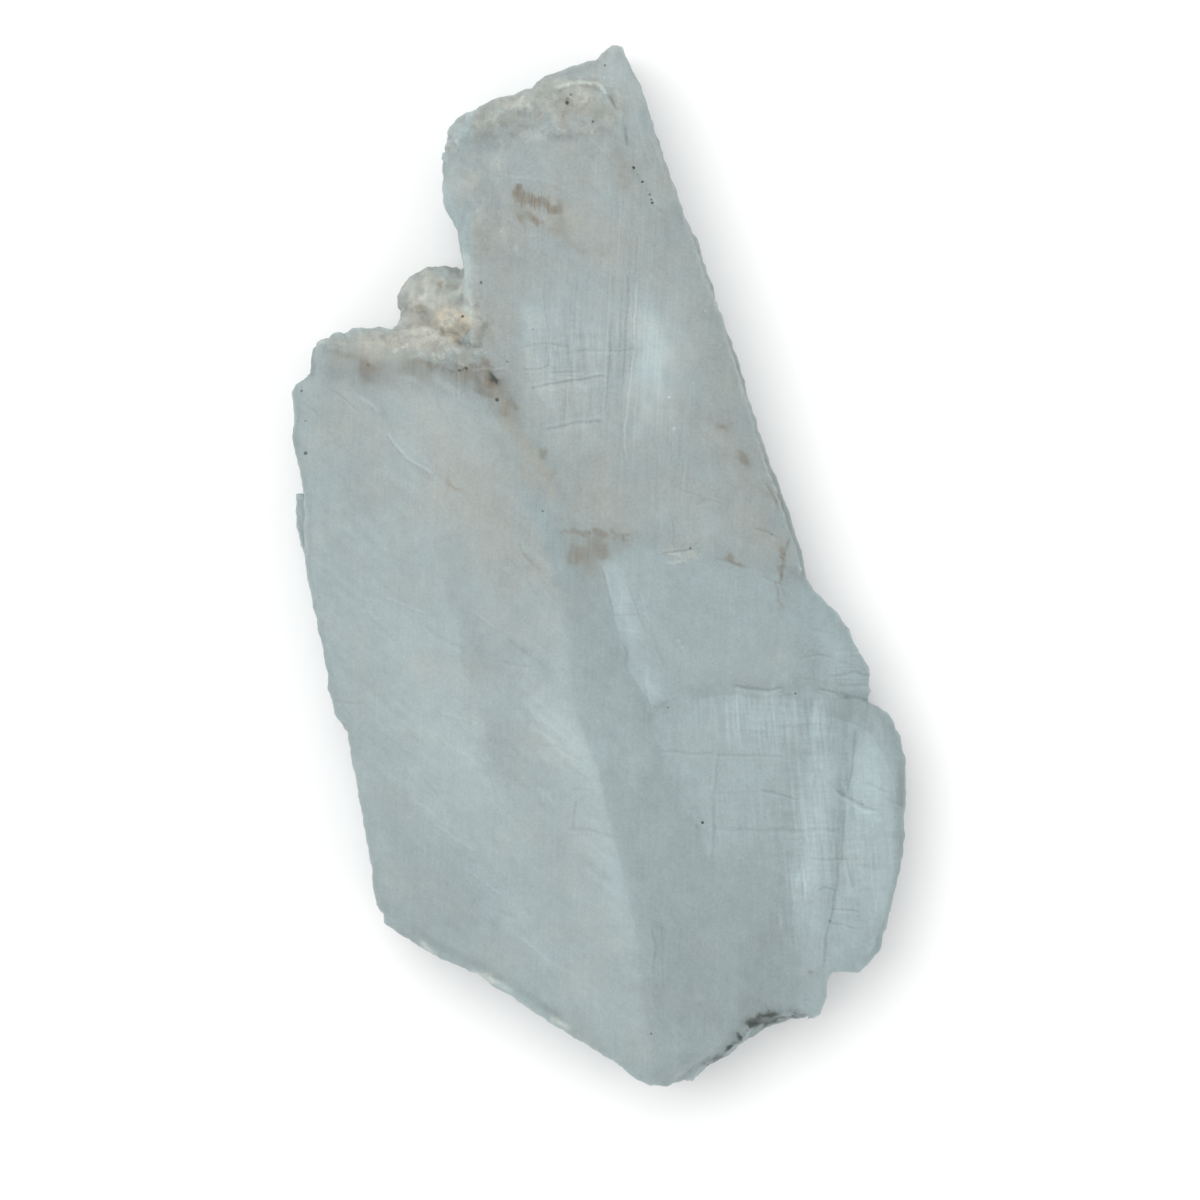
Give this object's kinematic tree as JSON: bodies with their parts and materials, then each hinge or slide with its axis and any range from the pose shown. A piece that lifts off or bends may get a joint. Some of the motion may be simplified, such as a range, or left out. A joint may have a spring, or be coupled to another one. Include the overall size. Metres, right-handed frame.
{
  "type": "selenite slab",
  "caption": "Pale, milky slab of intergrown selenite plates with flat cleavage faces, stepped broken edges and a sandy crust in its notch.",
  "frame": {"origin": "middle of the footprint, on the flat cleaved back", "axes": "+Y along the slab towards its peak, +X to the right of its best face, +Z out of that face"},
  "size_m": [0.0888, 0.15, 0.0193],
  "materials": {
    "selenite": "milky translucent gypsum with a soft pearly lustre, beige and sandy at its crust"
  },
  "bodies": {
    "root": {"selenite_slab": "selenite"}
  },
  "joints": []
}
